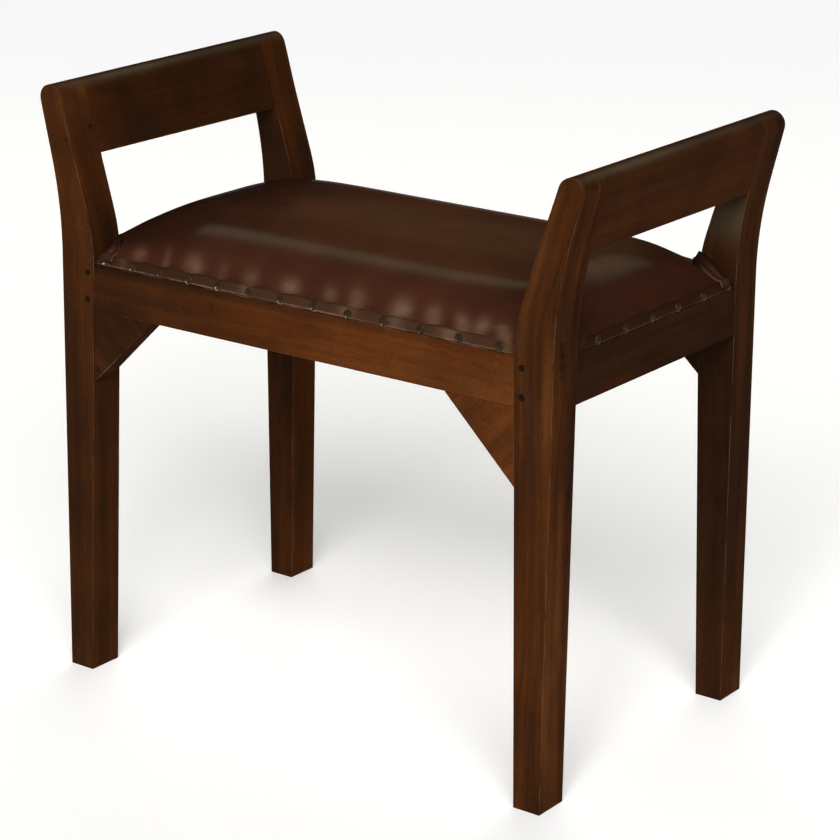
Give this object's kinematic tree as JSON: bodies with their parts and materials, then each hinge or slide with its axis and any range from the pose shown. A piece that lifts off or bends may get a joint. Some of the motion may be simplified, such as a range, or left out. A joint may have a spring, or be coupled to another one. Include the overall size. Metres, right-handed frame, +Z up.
{
  "type": "upholstered bench",
  "caption": "Low stained-wood bench with bent posts, slanted arm rails and corner brackets, and a domed leather seat pad nailed round its edge with brass tacks.",
  "frame": {"origin": "on the floor, under the middle of the bench", "axes": "+X along the bench to the right seen from the front, +Y from the front to the back, +Z up"},
  "size_m": [0.586, 0.336, 0.557],
  "materials": {
    "frame_wood": "dark stained hardwood, satin lacquer",
    "rail_wood": "red-brown stained hardwood, satin lacquer",
    "peg_wood": "dark end-grain pegs, satin",
    "seat_plywood": "raw plywood",
    "seat_foam": "soft foam, hidden",
    "cover_leather": "smooth dark oxblood leather, semi-gloss",
    "tack_brass": "aged brass, worn bright on the domes"
  },
  "bodies": {
    "root": {"leg_front_left": "frame_wood", "leg_front_right": "frame_wood", "leg_rear_left": "frame_wood", "leg_rear_right": "frame_wood", "arm_rail_left": "frame_wood", "arm_rail_right": "frame_wood", "seat_rail_front": "rail_wood", "seat_rail_rear": "rail_wood", "seat_rail_left": "rail_wood", "seat_rail_right": "rail_wood", "bracket_front_left": "rail_wood", "bracket_front_right": "rail_wood", "bracket_rear_left": "rail_wood", "bracket_rear_right": "rail_wood", "peg_front_left_lower": "peg_wood", "peg_front_left_upper": "peg_wood", "peg_front_right_lower": "peg_wood", "peg_front_right_upper": "peg_wood", "peg_rear_left_lower": "peg_wood", "peg_rear_left_upper": "peg_wood", "peg_rear_right_lower": "peg_wood", "peg_rear_right_upper": "peg_wood", "seat_board": "seat_plywood", "foam_pad": "seat_foam", "leather_cover": "cover_leather", "tack_front_01": "tack_brass", "tack_front_02": "tack_brass", "tack_front_03": "tack_brass", "tack_front_04": "tack_brass", "tack_front_05": "tack_brass", "tack_front_06": "tack_brass", "tack_front_07": "tack_brass", "tack_front_08": "tack_brass", "tack_front_09": "tack_brass", "tack_front_10": "tack_brass", "tack_front_11": "tack_brass", "tack_front_12": "tack_brass", "tack_front_13": "tack_brass", "tack_rear_01": "tack_brass", "tack_rear_02": "tack_brass", "tack_rear_03": "tack_brass", "tack_rear_04": "tack_brass", "tack_rear_05": "tack_brass", "tack_rear_06": "tack_brass", "tack_rear_07": "tack_brass", "tack_rear_08": "tack_brass", "tack_rear_09": "tack_brass", "tack_rear_10": "tack_brass", "tack_left_01": "tack_brass", "tack_left_02": "tack_brass", "tack_left_03": "tack_brass", "tack_left_04": "tack_brass", "tack_left_05": "tack_brass", "tack_left_06": "tack_brass", "tack_right_01": "tack_brass", "tack_right_02": "tack_brass", "tack_right_03": "tack_brass", "tack_right_04": "tack_brass", "tack_right_05": "tack_brass", "tack_right_06": "tack_brass"}
  },
  "joints": []
}
